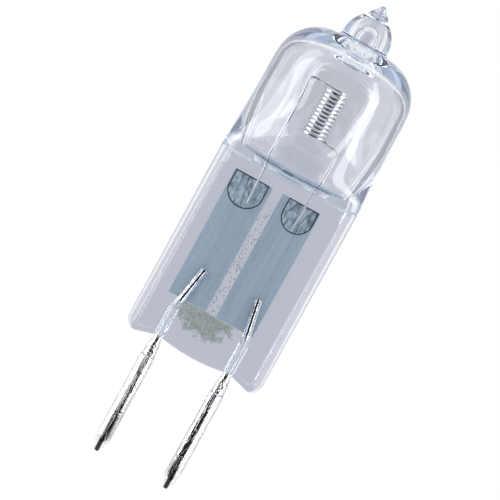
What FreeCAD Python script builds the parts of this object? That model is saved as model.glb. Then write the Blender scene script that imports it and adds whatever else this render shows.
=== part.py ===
import FreeCAD, Part
import math
import operator
import os
from types import SimpleNamespace

import Sketcher
from FreeCAD import Vector

# A two-pin quartz halogen capsule, in millimetres.
# +Z runs up the bulb's axis. X runs across the pinch through both pins, and -Y faces its front.
# The origin lies midway between the pins, in the plane where their full diameter begins.

SIZES = (
    ("pin_spacing", 6.35, "between the axes of the two pins"),
    ("pin_diameter", 1.25, "shank of a pin"),
    ("pin_length", 8.8, "from the top of the shank to the tip"),
    ("pin_nose_length", 1.4, "rounded taper at the tip"),
    ("pin_tip_diameter", 0.3, "flat at the very tip"),
    ("pin_step_height", 0.1, "height of the bevel between shank and neck"),
    ("pin_neck_diameter", 1.08, "foot of the neck crimped on the lead"),
    ("pin_neck_length", 1.44, "from the top of the shank to the top of the neck"),
    ("pin_neck_wall", 0.06, "wall at the top of the neck"),
    ("pin_bore_depth", 2.6, "how far the lead goes down inside the shank"),
    ("lead_diameter", 0.72, "outer lead wire"),
    ("lead_bend_radius", 1.6, "on the lead's own axis"),
    ("lead_bend_drop", 0.85, "corner of the crank below the foil"),
    ("lead_crank_offset", 0.72, "how far the crank brings the lead inwards"),
    ("lead_weld_length", 2.95, "lead lying on the foil"),
    ("lead_weld_flat", 0.05, "depth of the flat on the lead"),
    ("lead_channel_clearance", 0.12, "gap round the lead below the foil"),
    ("pinch_bottom", 1.5, "lowest corners of the pinch above the origin"),
    ("pinch_length", 16.58, "corners of the pinch to its top line"),
    ("pinch_width", 12.24, "across the rims"),
    ("pinch_thickness", 3.6, "through the rims"),
    ("web_thickness", 2.76, "through the pressed faces"),
    ("web_width", 10.4, "pressed face between the rims"),
    ("web_step", 0.17, "narrowing of the pressed face near its top, each side"),
    ("web_step_drop", 1.36, "from the top line down to that narrowing"),
    ("rim_end_height", 0.55, "rounded lower end of a rim above the corners"),
    ("rim_end_radius", 0.45, "rounding of that end"),
    ("pinch_corner_radius", 1.0, "lower corners seen from the front"),
    ("pin_dimple", 0.56, "rise of the lower edge at each lead"),
    ("middle_dip", 0.36, "sag of the lower edge between the leads"),
    ("bulb_diameter", 11.7, "at the shoulder"),
    ("bulb_taper", 0.5, "how much narrower the bulb is at its top"),
    ("bulb_height", 11.96, "top line of the pinch to the crown"),
    ("bulb_straight_length", 0.86, "upright wall between the shoulder and the dome"),
    ("crown_flat_width", 0.1, "flat of the crown that the dome leaves beside the stub"),
    ("bulb_wall", 0.62, "side wall"),
    ("crown_wall", 1.15, "top wall"),
    ("cavity_dome_inset", 1.0, "how much smaller the inner rounding is than the dome"),
    ("cavity_floor", 0.72, "floor of the cavity above the top line"),
    ("cavity_slot_width", 9.2, "long way of the cavity floor"),
    ("cavity_slot_thickness", 1.3, "narrow way of the cavity floor"),
    ("tip_diameter", 4.0, "stub of the exhaust tube"),
    ("tip_straight", 0.46, "upright foot of the stub"),
    ("tip_round_height", 1.8, "rounded part of the stub"),
    ("tip_neck_diameter", 2.3, "foot of the drawn point"),
    ("tip_point_height", 1.28, "drawn point"),
    ("tip_point_diameter", 0.24, "end of the drawn point"),
    ("tip_root_radius", 0.35, "blend between stub and crown"),
    ("exhaust_bore", 1.5, "bore left in the stub"),
    ("exhaust_height", 1.35, "bore above the crown"),
    ("foil_width", 3.4, "sealing foil"),
    ("foil_thickness", 0.04, "middle of the foil"),
    ("foil_feather", 0.1, "etched knife edge, each side"),
    ("foil_gap", 0.9, "between the two foils"),
    ("foil_offset", 0.35, "middle of the gap left of the axis"),
    ("foil_bottom_cover", 3.95, "glass below the foils"),
    ("foil_top_cover", 1.33, "from the foils up to the top line"),
    ("tab_thickness", 0.03, "weld tab"),
    ("left_tab_width", 3.0, "left weld tab"),
    ("right_tab_width", 2.7, "right weld tab"),
    ("left_tab_height", 2.67, "left weld tab"),
    ("right_tab_height", 2.48, "right weld tab"),
    ("tab_round_height", 1.15, "round lower end of a tab"),
    ("wire_diameter", 0.22, "filament wire"),
    ("leg_foot_spacing", 4.12, "between the feet of the legs"),
    ("leg_lean_angle", 2.2, "outward lean of a leg in degrees"),
    ("leg_weld_length", 2.1, "leg lying on the tab"),
    ("leg_weld_flat", 0.02, "depth of the flat on the leg"),
    ("leg_bend_radius", 0.4, "corner at the top of a leg"),
    ("coil_diameter", 2.3, "outside of the coil"),
    ("coil_pitch", 0.342, "rise of one turn"),
    ("coil_turns", 12, "whole turns"),
    ("coil_rise", 2.9, "foot of the coil above the cavity floor"),
)

# Sides of the wire's section, few because the coil has many turns.
WIRE_SIDES = 6
# Height of the shoulder's middle section as a share of the shoulder.
SHOULDER_SHARE = 0.3
# Side radius of the shoulder's middle section as a share of its half depth.
OVAL_SHARE = 0.72
# How far a sweep's volume may stray from its section times its length.
SWEEP_TOLERANCE = 1e-3
SIDES = {"left": -1, "right": 1}
OPERATIONS = {
    "+": operator.add,
    "-": operator.sub,
    "*": operator.mul,
    "/": operator.truediv,
}


class Size:
    """A number together with the spreadsheet formula that gives it."""

    def __init__(self, value, formula):
        self.value = value
        self.formula = formula

    def __add__(self, other):
        return join(self, "+", other)

    def __sub__(self, other):
        return join(self, "-", other)

    def __mul__(self, other):
        return join(self, "*", other)

    def __truediv__(self, other):
        return join(self, "/", other)

    def __neg__(self):
        return join(0, "-", self)


def as_size(thing):
    if isinstance(thing, Size):
        return thing
    return Size(thing, f"({thing})")


def join(left, sign, right):
    left = as_size(left)
    right = as_size(right)
    value = OPERATIONS[sign](left.value, right.value)
    return Size(value, f"({left.formula} {sign} {right.formula})")


def root(size):
    return Size(math.sqrt(size.value), f"sqrt({size.formula})")


def make_sheet(doc):
    """Write the driving sizes to a sheet, and return them by name."""
    sheet = doc.addObject("Spreadsheet::Sheet", "sizes")
    sizes = {}
    for row, (alias, number, note) in enumerate(SIZES, 1):
        sheet.set(f"A{row}", alias)
        sheet.set(f"B{row}", str(number))
        sheet.set(f"C{row}", note)
        sheet.setAlias(f"B{row}", alias)
        sizes[alias] = Size(number, f"sizes.{alias}")
    doc.recompute()
    return SimpleNamespace(**sizes)


def bind(thing, **sizes):
    """Tie an object's properties to the sheet."""
    for prop, size in sizes.items():
        thing.setExpression(prop, as_size(size).formula)


def new_body(name):
    body = doc.addObject("PartDesign::Body", name)
    body.Label = name
    return body


def new_sketch(body, name, plane, shift=(0, 0, 0)):
    """A sketch on one of the body's origin planes, shifted along the sketch's own axes."""
    sketch = body.newObject("Sketcher::SketchObject", name)
    origin = next(f for f in body.Origin.OriginFeatures if f.Role == plane)
    sketch.AttachmentSupport = (origin, [""])
    sketch.MapMode = "FlatFace"
    for axis, amount in zip("xyz", shift):
        bind(sketch, **{f"AttachmentOffset.Base.{axis}": amount})
    return sketch


def arc_between(start, end, radius, turn):
    """The short arc from start to end, with its middle on the left (turn 1) or right (turn -1)."""
    chord = end - start
    across = Vector(-chord.y, chord.x, 0).normalize()
    height = math.sqrt(max(radius**2 - (chord.Length / 2) ** 2, 0))
    middle = start + chord / 2 + across * height * turn
    first, last = (start, end) if turn > 0 else (end, start)
    angles = [math.atan2(p.y - middle.y, p.x - middle.x) for p in (first, last)]
    circle = Part.Circle(middle, Vector(0, 0, 1), radius)
    return Part.ArcOfCircle(circle, angles[0], angles[1])


def pin_down(sketch, edge, end, place):
    """Tie one end of an edge to the sheet by its distances from the sketch's origin."""
    for kind, axis, size in (("DistanceX", -2, place[0]), ("DistanceY", -1, place[1])):
        if not isinstance(size, Size):
            sketch.addConstraint(Sketcher.Constraint("PointOnObject", edge, end, axis))
            continue
        rule = Sketcher.Constraint(kind, -1, 1, edge, end, size.value)
        number = sketch.addConstraint(rule)
        bind(sketch, **{f"Constraints[{number}]": size})


def trace(sketch, corners, closed=True):
    """Draw an outline through the corners.

    A corner is (x, y), or (x, y, radius, turn) where an arc leads to the next corner.
    A bare 0 in place of a size lies on the sketch's axis.
    """
    ends = []
    for index, corner in enumerate(corners):
        if index == len(corners) - 1 and not closed:
            break
        following = corners[(index + 1) % len(corners)]
        start = Vector(as_size(corner[0]).value, as_size(corner[1]).value, 0)
        end = Vector(as_size(following[0]).value, as_size(following[1]).value, 0)
        if len(corner) == 2:
            edge = sketch.addGeometry(Part.LineSegment(start, end), False)
            ends.append((edge, 1, 2))
            continue
        radius, turn = corner[2:]
        edge = sketch.addGeometry(arc_between(start, end, radius.value, turn), False)
        ends.append((edge, 1, 2) if turn > 0 else (edge, 2, 1))
    for index, (edge, start, end) in enumerate(ends):
        if index + 1 < len(ends) or closed:
            after = ends[(index + 1) % len(ends)]
            sketch.addConstraint(Sketcher.Constraint("Coincident", edge, end, after[0], after[1]))
        pin_down(sketch, edge, start, corners[index])
        if len(corners[index]) > 2:
            radius = corners[index][2]
            rule = Sketcher.Constraint("Radius", edge, radius.value)
            number = sketch.addConstraint(rule)
            bind(sketch, **{f"Constraints[{number}]": radius})
    if not closed:
        pin_down(sketch, ends[-1][0], ends[-1][2], corners[-1])


def feature(body, kind, name, sketch, **settings):
    made = body.newObject(f"PartDesign::{kind}", name)
    made.Profile = sketch
    for prop, setting in settings.items():
        if isinstance(setting, Size):
            bind(made, **{prop: setting})
        else:
            setattr(made, prop, setting)
    doc.recompute()
    return made


def turned(body, kind, name, sketch):
    """A full turn of a profile round the sketch's upright axis."""
    return feature(body, kind, name, sketch, ReferenceAxis=(sketch, ["V_Axis"]), Angle=360)


def ring_edges(shape, radius, height):
    """Names of the circular edges round the axis with this radius at this height."""
    near = 1e-4
    names = []
    for number, edge in enumerate(shape.Edges, 1):
        if edge.Degenerated or not isinstance(edge.Curve, Part.Circle):
            continue
        middle = edge.Curve.Center
        if abs(edge.Curve.Radius - radius) < near and abs(middle.z - height) < near:
            names.append(f"Edge{number}")
    return names


def round_ring(body, name, at, place, radius):
    """Round the circular edge at (radius, height) of the body so far."""
    edges = ring_edges(at.Shape, place[0].value, place[1].value)
    made = body.newObject("PartDesign::Fillet", name)
    made.Base = (at, edges)
    bind(made, Radius=radius)
    doc.recompute()
    return made


def make_pin(side):
    """A turned pin: blunt nose, shank, and a neck crimped on the lead in its bore."""
    body = new_body(f"{side}_pin")
    sketch = new_sketch(body, f"{side}_pin_profile", "XZ_Plane", (pin_x * SIDES[side], 0, 0))
    shank = s.pin_diameter / 2
    tip = s.pin_tip_diameter / 2
    nose_drop = shank - tip
    nose_radius = (s.pin_nose_length * s.pin_nose_length + nose_drop * nose_drop) / (nose_drop * 2)
    bore = s.lead_diameter / 2
    neck = s.pin_neck_diameter / 2
    neck_drop = neck - bore - s.pin_neck_wall
    rounding = s.pin_neck_length - s.pin_step_height
    neck_radius = (rounding * rounding + neck_drop * neck_drop) / (neck_drop * 2)
    trace(
        sketch,
        (
            (0, -s.pin_length),
            (tip, -s.pin_length, nose_radius, 1),
            (shank, s.pin_nose_length - s.pin_length),
            (shank, 0),
            (neck, s.pin_step_height, neck_radius, 1),
            (bore + s.pin_neck_wall, s.pin_neck_length),
            (bore, s.pin_neck_length),
            (bore, -s.pin_bore_depth),
            (0, -s.pin_bore_depth),
        ),
    )
    turned(body, "Revolution", f"{side}_pin_turning", sketch)
    return body


def make_lead(side):
    """A round wire from the pin's bore, cranked inwards, with a flat where it is welded to the foil."""
    sign = SIDES[side]
    body = new_body(f"{side}_lead")
    path = new_sketch(body, f"{side}_lead_path", "XZ_Plane", (pin_x * sign, 0, 0))
    corner = foil_bottom - s.lead_bend_drop
    rise = lead_top - corner
    slant = root(rise * rise + s.lead_crank_offset * s.lead_crank_offset)
    # The arc's tangent length is its radius times the tangent of half the crank's angle.
    tangent = s.lead_bend_radius * s.lead_crank_offset / (slant + rise)
    across = tangent * s.lead_crank_offset / slant
    above = tangent * rise / slant
    trace(
        path,
        (
            (0, -s.pin_bore_depth),
            (0, corner - tangent, s.lead_bend_radius, sign),
            (across * -sign, corner + above),
            (s.lead_crank_offset * -sign, lead_top),
        ),
        closed=False,
    )
    section = new_sketch(body, f"{side}_lead_section", "XY_Plane", (pin_x * sign, 0, -s.pin_bore_depth))
    radius = s.lead_diameter / 2
    ring = section.addGeometry(Part.Circle(Vector(), Vector(0, 0, 1), radius.value), False)
    section.addConstraint(Sketcher.Constraint("Coincident", ring, 3, -1, 1))
    number = section.addConstraint(Sketcher.Constraint("Radius", ring, radius.value))
    bind(section, **{f"Constraints[{number}]": radius})
    edges = [f"Edge{n}" for n in range(1, 4)]
    feature(body, "AdditivePipe", f"{side}_lead_wire", section, Spine=(path, edges))
    flat = new_sketch(body, f"{side}_lead_flat", "XZ_Plane", (pin_x * sign, 0, -foil_front))
    reach = s.lead_crank_offset + s.lead_diameter
    trace(
        flat,
        (
            (-reach, foil_bottom),
            (reach, foil_bottom),
            (reach, lead_top + s.lead_diameter),
            (-reach, lead_top + s.lead_diameter),
        ),
    )
    feature(body, "Pocket", f"{side}_lead_weld", flat, Length=s.lead_diameter)
    return body


def make_foil(side):
    """A thin foil with etched knife edges."""
    body = new_body(f"{side}_foil")
    sketch = new_sketch(body, f"{side}_foil_section", "XY_Plane", (foil_x[side], 0, foil_bottom))
    half = s.foil_width / 2
    flat = half - s.foil_feather
    middle = foil_front + s.foil_thickness / 2
    back = foil_front + s.foil_thickness
    trace(
        sketch,
        (
            (-half, middle),
            (-flat, foil_front),
            (flat, foil_front),
            (half, middle),
            (flat, back),
            (-flat, back),
        ),
    )
    feature(body, "Pad", f"{side}_foil_strip", sketch, Length=foil_top - foil_bottom)
    return body


def make_tab(side, width, height):
    """A thin tab on the front of the foil, straight above and round below."""
    body = new_body(f"{side}_weld_tab")
    sketch = new_sketch(body, f"{side}_tab_outline", "XZ_Plane", (tab_x[side], 0, -foil_front))
    half = width / 2
    low = foil_top - height + s.tab_round_height
    radius = (half * half + s.tab_round_height * s.tab_round_height) / (s.tab_round_height * 2)
    trace(
        sketch,
        (
            (-half, low, radius, 1),
            (0, foil_top - height, radius, 1),
            (half, low),
            (half, foil_top),
            (-half, foil_top),
        ),
    )
    feature(body, "Pad", f"{side}_tab_sheet", sketch, Length=s.tab_thickness)
    return body


def rounded_corner(before, corner, after, radius):
    """The ends and middle of an arc that rounds a corner between two straight runs."""
    inward = (corner - before).normalize()
    outward = (after - corner).normalize()
    turn = inward.getAngle(outward)
    tangent = radius * math.tan(turn / 2)
    start = corner - inward * tangent
    end = corner + outward * tangent
    to_middle = (outward - inward).normalize()
    bulge = radius / math.cos(turn / 2) - radius
    return start, corner + to_middle * bulge, end


def make_filament():
    """One wire: leg, corner, run, coil, run, corner and leg, each tangent to the next.

    The coil is right-handed. Both runs leave its back, the lower to the right and the upper to the left.
    """
    radius = s.wire_diameter.value / 2
    coil = s.coil_diameter.value / 2 - radius
    pitch = s.coil_pitch.value
    slope = pitch / (2 * math.pi * coil)
    foot_x = s.leg_foot_spacing.value / 2
    y = leg_y.value
    foot_z = leg_foot.value
    low = coil_foot.value
    axis = Vector(0, 0, 1)

    def run_to_coil(height):
        """For a leg of this height: its top's x, the angle where its run meets the coil, the run's length."""
        x = foot_x + (height - foot_z) * math.tan(math.radians(s.leg_lean_angle.value))
        away = math.hypot(x, y)
        angle = math.degrees(math.atan2(y, x) + math.acos(coil / away))
        return x, angle, math.sqrt(away**2 - coil**2)

    def on_coil(turns):
        """A point of the coil's centre line, by turns from its foot."""
        turned_by = FreeCAD.Rotation(axis, right_angle + 360 * turns)
        return turned_by.multVec(Vector(coil, 0, 0)) + axis * (low + turns * pitch)

    right_x, right_angle, right_run = run_to_coil(low)
    left_x, left_angle, left_run = run_to_coil(low + s.coil_turns.value * pitch)
    last_part = (180 - left_angle - right_angle) / 360
    turns = s.coil_turns.value + last_part
    right_foot = Vector(foot_x, y, foot_z)
    left_foot = Vector(-foot_x, y, foot_z)
    right_top = Vector(right_x, y, low - right_run * slope)
    left_top = Vector(-left_x, y, low + turns * pitch + left_run * slope)
    bend = s.leg_bend_radius.value
    right_bend = rounded_corner(right_foot, right_top, on_coil(0), bend)
    left_bend = rounded_corner(on_coil(turns), left_top, left_foot, bend)
    edges = [
        Part.makeLine(right_foot, right_bend[0]),
        Part.Arc(*right_bend).toShape(),
        Part.makeLine(right_bend[2], on_coil(0)),
    ]
    for turn in range(s.coil_turns.value + 1):
        share = last_part if turn == s.coil_turns.value else 1
        loop = Part.makeHelix(pitch, share * pitch, coil)
        loop.rotate(Vector(), axis, right_angle)
        loop.translate(axis * (low + turn * pitch))
        edges += loop.Edges
    edges += [
        Part.makeLine(on_coil(turns), left_bend[0]),
        Part.Arc(*left_bend).toShape(),
        Part.makeLine(left_bend[2], left_foot),
    ]
    path = Part.Wire(edges)
    corners = [math.pi * (2 * n + 1) / WIRE_SIDES for n in range(WIRE_SIDES + 1)]
    ring = Part.makePolygon([Vector(radius * math.cos(a), radius * math.sin(a), 0) for a in corners])
    ring.Placement = FreeCAD.Placement(right_foot, FreeCAD.Rotation(axis, right_top - right_foot))
    wire = path.makePipeShell([ring], True, False)
    weld = Part.makeBox(
        4 * foot_x,
        s.wire_diameter.value,
        foil_top.value - foot_z + radius,
        Vector(-2 * foot_x, tab_front.value, foot_z - radius),
    )
    expected = path.Length * Part.Face(ring).Area
    if abs(wire.Volume - expected) > SWEEP_TOLERANCE * expected:
        raise RuntimeError("the filament's sweep lost its section")
    made = doc.addObject("Part::Feature", "filament")
    made.Label = "filament"
    made.Shape = wire.cut(weld)
    return made


def oval(sketch, half_width, half_depth, side_radius):
    """Four tangent arcs: two small ones at the sides and two large ones front and back."""
    side_x = half_width - side_radius
    gap = half_depth - side_radius
    drop = (side_x * side_x - gap * gap) / (gap * 2)
    big = half_depth + drop
    reach = big - side_radius
    x = side_x + side_radius * side_x / reach
    y = side_radius * drop / reach
    trace(sketch, ((x, -y, side_radius, 1), (x, y, big, 1), (-x, y, side_radius, 1), (-x, -y, big, 1)))


def stadium(sketch, half_width, half_depth):
    """Two straight sides, tangent to two half-round ends."""
    x = half_width - half_depth
    corner = Vector(x.value, half_depth.value, 0)
    flipped = Vector(x.value, -half_depth.value, 0)
    up = Vector(0, 0, 1)
    quarter = math.pi / 2
    right = Part.Circle(Vector(x.value, 0, 0), up, half_depth.value)
    left = Part.Circle(Vector(-x.value, 0, 0), up, half_depth.value)
    sketch.addGeometry(Part.ArcOfCircle(right, -quarter, quarter), False)
    sketch.addGeometry(Part.LineSegment(corner, -flipped), False)
    sketch.addGeometry(Part.ArcOfCircle(left, quarter, 3 * quarter), False)
    sketch.addGeometry(Part.LineSegment(-corner, flipped), False)
    for edge in range(4):
        sketch.addConstraint(Sketcher.Constraint("Tangent", edge, 2, (edge + 1) % 4, 1))
    sketch.addConstraint(Sketcher.Constraint("Equal", 0, 2))
    number = sketch.addConstraint(Sketcher.Constraint("Radius", 0, half_depth.value))
    bind(sketch, **{f"Constraints[{number}]": half_depth})
    pin_down(sketch, 0, 3, (x, 0))
    pin_down(sketch, 2, 3, (-x, 0))


def quartered_circle(sketch, radius):
    """A circle in four arcs, to match the four edges of the other sections."""
    q = radius * math.sqrt(0.5)
    trace(sketch, ((q, -q, radius, 1), (q, q, radius, 1), (-q, q, radius, 1), (-q, -q, radius, 1)))


def loft(body, kind, name, foot, shares):
    """A blend up from a stadium to the round bulb, through one oval section."""
    half_width, half_depth, radius = shares
    low = new_sketch(body, f"{name}_foot", "XY_Plane", (0, 0, foot))
    stadium(low, half_width, half_depth)
    height = waist - foot
    middle = new_sketch(body, f"{name}_middle", "XY_Plane", (0, 0, foot + height * SHOULDER_SHARE))
    left_over = (1 - SHOULDER_SHARE) ** 2
    depth = radius - (radius - half_depth) * left_over
    width = radius - (radius - half_width) * left_over
    oval(middle, width, depth, depth * OVAL_SHARE)
    high = new_sketch(body, f"{name}_top", "XY_Plane", (0, 0, waist))
    quartered_circle(high, radius)
    return feature(body, kind, name, low, Sections=[(middle, [""]), (high, [""])], Ruled=False)


def make_glass():
    """The quartz before its metal: pinch, shoulder, bulb and exhaust tip round one cavity."""
    body = new_body("quartz_blank")
    half_width = s.pinch_width / 2
    half_depth = s.pinch_thickness / 2
    plan = new_sketch(body, "pinch_plan", "XY_Plane", (0, 0, s.pinch_bottom))
    stadium(plan, half_width, half_depth)
    feature(body, "Pad", "pinch_bar", plan, Length=s.pinch_length)

    # The wavy lower edge: round corners, a rise at each lead and a sag between them.
    edge = new_sketch(body, "pinch_lower_edge", "XZ_Plane")
    beyond = half_width + s.pinch_thickness
    below = s.pinch_bottom - s.pinch_thickness
    corner_x = half_width - s.pinch_corner_radius
    corner_z = s.pinch_bottom + s.pinch_corner_radius
    dimple = s.pinch_bottom + s.pin_dimple
    sag_radius = (pin_x * pin_x + s.middle_dip * s.middle_dip) / (s.middle_dip * 2)
    trace(
        edge,
        (
            (-beyond, below),
            (beyond, below),
            (beyond, corner_z),
            (half_width, corner_z, s.pinch_corner_radius, -1),
            (corner_x, s.pinch_bottom),
            (pin_x, dimple, sag_radius, -1),
            (-pin_x, dimple),
            (-corner_x, s.pinch_bottom, s.pinch_corner_radius, -1),
            (-half_width, corner_z),
            (-beyond, corner_z),
        ),
    )
    feature(body, "Pocket", "pinch_lower_trim", edge, Length=s.pinch_thickness * 2, SideType="Symmetric")

    # The pressed face leaves a rim down each side, with a round lower end.
    face = new_sketch(body, "pinch_pressing", "XZ_Plane", (0, 0, half_depth))
    web_x = s.web_width / 2
    narrow_x = web_x - s.web_step
    rim_z = s.pinch_bottom + s.rim_end_height
    step_z = pinch_top - s.web_step_drop
    trace(
        face,
        (
            (-beyond, below),
            (beyond, below),
            (beyond, rim_z),
            (web_x + s.rim_end_radius, rim_z, s.rim_end_radius, -1),
            (web_x, rim_z + s.rim_end_radius),
            (web_x, step_z),
            (narrow_x, step_z),
            (narrow_x, pinch_top),
            (-narrow_x, pinch_top),
            (-narrow_x, step_z),
            (-web_x, step_z),
            (-web_x, rim_z + s.rim_end_radius, s.rim_end_radius, -1),
            (-web_x - s.rim_end_radius, rim_z),
            (-beyond, rim_z),
        ),
    )
    pressing = feature(body, "Pocket", "pinch_front", face, Length=(s.pinch_thickness - s.web_thickness) / 2)
    mirror = body.newObject("PartDesign::Mirrored", "pinch_back")
    mirror.Originals = [pressing]
    mirror.MirrorPlane = (next(f for f in body.Origin.OriginFeatures if f.Role == "XZ_Plane"), [""])
    body.Tip = mirror
    doc.recompute()

    loft(body, "AdditiveLoft", "shoulder", pinch_top, (half_width, half_depth, s.bulb_diameter / 2))

    profile = new_sketch(body, "bulb_profile", "XZ_Plane")
    tip = s.tip_diameter / 2
    neck = s.tip_neck_diameter / 2
    tip_foot = crown + s.tip_straight
    tip_neck = tip_foot + s.tip_round_height
    lost = tip - neck
    tip_round = (s.tip_round_height * s.tip_round_height + lost * lost) / (lost * 2)
    point = tip_neck + s.tip_point_height
    trace(
        profile,
        (
            (0, waist),
            (s.bulb_diameter / 2, waist),
            (bulb_top, crown),
            (tip, crown),
            (tip, tip_foot, tip_round, 1),
            (neck, tip_neck),
            (s.tip_point_diameter / 2, point),
            (0, point),
        ),
    )
    bulb = turned(body, "Revolution", "bulb", profile)
    dome = round_ring(body, "dome", bulb, (bulb_top, crown), dome_radius)
    round_ring(body, "tip_root", dome, (tip, crown), s.tip_root_radius)

    hollow = new_sketch(body, "cavity_profile", "XZ_Plane")
    inside = s.bulb_diameter / 2 - s.bulb_wall
    inside_round = dome_radius - s.cavity_dome_inset
    bore = s.exhaust_bore / 2
    bore_top = crown + s.exhaust_height
    ceiling = crown - s.crown_wall
    trace(
        hollow,
        (
            (0, waist),
            (inside, waist),
            (inside, ceiling - inside_round, inside_round, 1),
            (inside - inside_round, ceiling),
            (bore, ceiling),
            (bore, bore_top - bore, bore, 1),
            (0, bore_top),
        ),
    )
    turned(body, "Groove", "cavity", hollow)
    loft(
        body,
        "SubtractiveLoft",
        "cavity_foot",
        pinch_top + s.cavity_floor,
        (s.cavity_slot_width / 2, s.cavity_slot_thickness / 2, inside),
    )
    return body


def make_channel(side):
    """The round channel in which the lead lies loose below its foil."""
    channel = doc.addObject("Part::Cylinder", f"{side}_channel")
    bind(
        channel,
        Radius=s.lead_diameter / 2 + s.lead_channel_clearance,
        Height=foil_bottom - s.lead_bend_drop - s.pinch_bottom,
        **{"Placement.Base.x": pin_x * SIDES[side], "Placement.Base.z": s.pinch_bottom},
    )
    return channel


doc = FreeCAD.newDocument("halogen_capsule")
s = make_sheet(doc)

# Heights and places that several pieces share.
pin_x = s.pin_spacing / 2
pinch_top = s.pinch_bottom + s.pinch_length
crown = pinch_top + s.bulb_height
bulb_top = (s.bulb_diameter - s.bulb_taper) / 2
dome_radius = bulb_top - s.tip_diameter / 2 - s.crown_flat_width
waist = crown - dome_radius - s.bulb_straight_length
foil_bottom = s.pinch_bottom + s.foil_bottom_cover
foil_top = pinch_top - s.foil_top_cover
foil_front = s.lead_diameter / 2 - s.lead_weld_flat
tab_front = foil_front - s.tab_thickness
lead_top = foil_bottom + s.lead_weld_length
leg_y = tab_front + s.leg_weld_flat - s.wire_diameter / 2
leg_foot = foil_top - s.leg_weld_length
coil_foot = pinch_top + s.cavity_floor + s.coil_rise
foil_reach = (s.foil_gap + s.foil_width) / 2
foil_x = {"left": -foil_reach - s.foil_offset, "right": foil_reach - s.foil_offset}
foil_edge = s.foil_gap / 2 + s.foil_width - s.foil_feather
tab_x = {
    "left": s.left_tab_width / 2 - foil_edge - s.foil_offset,
    "right": foil_edge - s.foil_offset - s.right_tab_width / 2,
}

pieces = []
for side in SIDES:
    pieces.append(make_pin(side))
    pieces.append(make_lead(side))
    pieces.append(make_foil(side))
pieces.append(make_tab("left", s.left_tab_width, s.left_tab_height))
pieces.append(make_tab("right", s.right_tab_width, s.right_tab_height))
pieces.append(make_filament())

glass = make_glass()
metal = doc.addObject("Part::MultiFuse", "sealed_metal")
sealed = [p for p in pieces if not p.Label.endswith("_pin")]
metal.Shapes = sealed + [make_channel(side) for side in SIDES]
envelope = doc.addObject("Part::Cut", "quartz_envelope")
envelope.Label = "quartz_envelope"
envelope.Base = glass
envelope.Tool = metal
pieces.append(envelope)
doc.recompute()

for thing in doc.Objects:
    if {"Invalid", "Error"} & set(thing.State):
        raise RuntimeError(f"{thing.Label} failed: {thing.State}")
for piece in pieces:
    if piece.Shape.isNull() or not piece.Shape.isValid():
        raise RuntimeError(f"{piece.Label} has no valid shape")

os.makedirs("parts", exist_ok=True)
for piece in pieces:
    piece.Shape.exportStep(f"parts/{piece.Label}.step")
    print(piece.Label, len(piece.Shape.Solids), round(piece.Shape.Volume, 4))
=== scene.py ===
import math

import bpy
from mathutils import Matrix, Vector


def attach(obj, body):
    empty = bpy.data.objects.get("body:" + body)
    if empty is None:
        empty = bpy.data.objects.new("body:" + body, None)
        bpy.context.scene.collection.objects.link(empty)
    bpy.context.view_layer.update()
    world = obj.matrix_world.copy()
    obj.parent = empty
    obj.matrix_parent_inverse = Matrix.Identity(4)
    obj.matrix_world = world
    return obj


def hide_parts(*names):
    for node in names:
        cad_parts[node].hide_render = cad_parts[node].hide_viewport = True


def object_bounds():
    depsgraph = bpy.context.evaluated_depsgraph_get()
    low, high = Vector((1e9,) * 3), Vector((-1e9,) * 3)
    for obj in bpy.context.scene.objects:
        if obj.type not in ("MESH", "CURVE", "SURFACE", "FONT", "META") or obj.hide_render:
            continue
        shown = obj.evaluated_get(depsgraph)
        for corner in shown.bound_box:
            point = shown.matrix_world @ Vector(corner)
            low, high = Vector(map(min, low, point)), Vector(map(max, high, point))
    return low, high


# Dresses the two-pin halogen capsule. The quartz and the filament are modelled here over their CAD solids.
# The pins, leads, foils and weld tabs are the CAD's own, with their finishes.
# Sizes are in millimetres until a vertex is placed or a shader reads them.
# A pattern's fineness is how often it repeats in a metre.

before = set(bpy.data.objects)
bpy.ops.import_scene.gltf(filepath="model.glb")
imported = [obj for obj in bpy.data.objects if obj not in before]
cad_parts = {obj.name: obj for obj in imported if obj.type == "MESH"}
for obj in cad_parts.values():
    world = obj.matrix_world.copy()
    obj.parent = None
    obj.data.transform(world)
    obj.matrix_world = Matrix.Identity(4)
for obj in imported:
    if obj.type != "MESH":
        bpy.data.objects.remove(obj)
cad_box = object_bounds()

MM = 0.001

# The pinch
PIN_X = 3.175
PINCH_BOTTOM = 1.5
PINCH_TOP = 18.08
HALF_WIDTH = 6.12
HALF_DEPTH = 1.8
WEB_DEPTH = 1.38
WEB_X = 5.2
WEB_NARROW_X = 5.03
WEB_STEP_Z = 16.72
WEB_STEP_LENGTH = 0.16
RIM_END_Z = 2.05
RIM_END_RADIUS = 0.45
RIM_SLOPE = 0.28
TOP_SLOPE = 0.22
CORNER_RADIUS = 1.0
EDGE_ROUND = 0.4
EDGE_DEPTH = 0.3
DIMPLE = 0.56
MIDDLE_DIP = 0.36
CHANNEL_RADIUS = 0.48
CHANNEL_TOP = 4.6
CHANNEL_SIDES = 48

# Rows up the pinch in turn: round its lower edge, just above that edge, on the way to level, and level
EDGE_STEPS = 9
EDGE_RISES = (0.46, 0.53, 0.6, 0.67, 0.74, 0.82, 0.91, 1.0, 1.1)
LEVELLING_SHARES = (0.25, 0.5, 0.75)
LOWER_LEVELS = (6, 7.5, 9, 10.5, 12, 13.5, 15, 16.2, 16.6)
WEB_NARROWING_STEPS = 6
UPPER_LEVELS = (16.86, 17.2, 17.6)
TOP_SLOPE_STEPS = 8

# The weld tabs. Each side has the tab's middle, its half width and its foot.
TAB_TOP = 16.75
TAB_ROUND = 1.15
TABS = {"left": (-2.6, 1.5, 14.08), "right": (2.05, 1.35, 14.27)}

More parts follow.
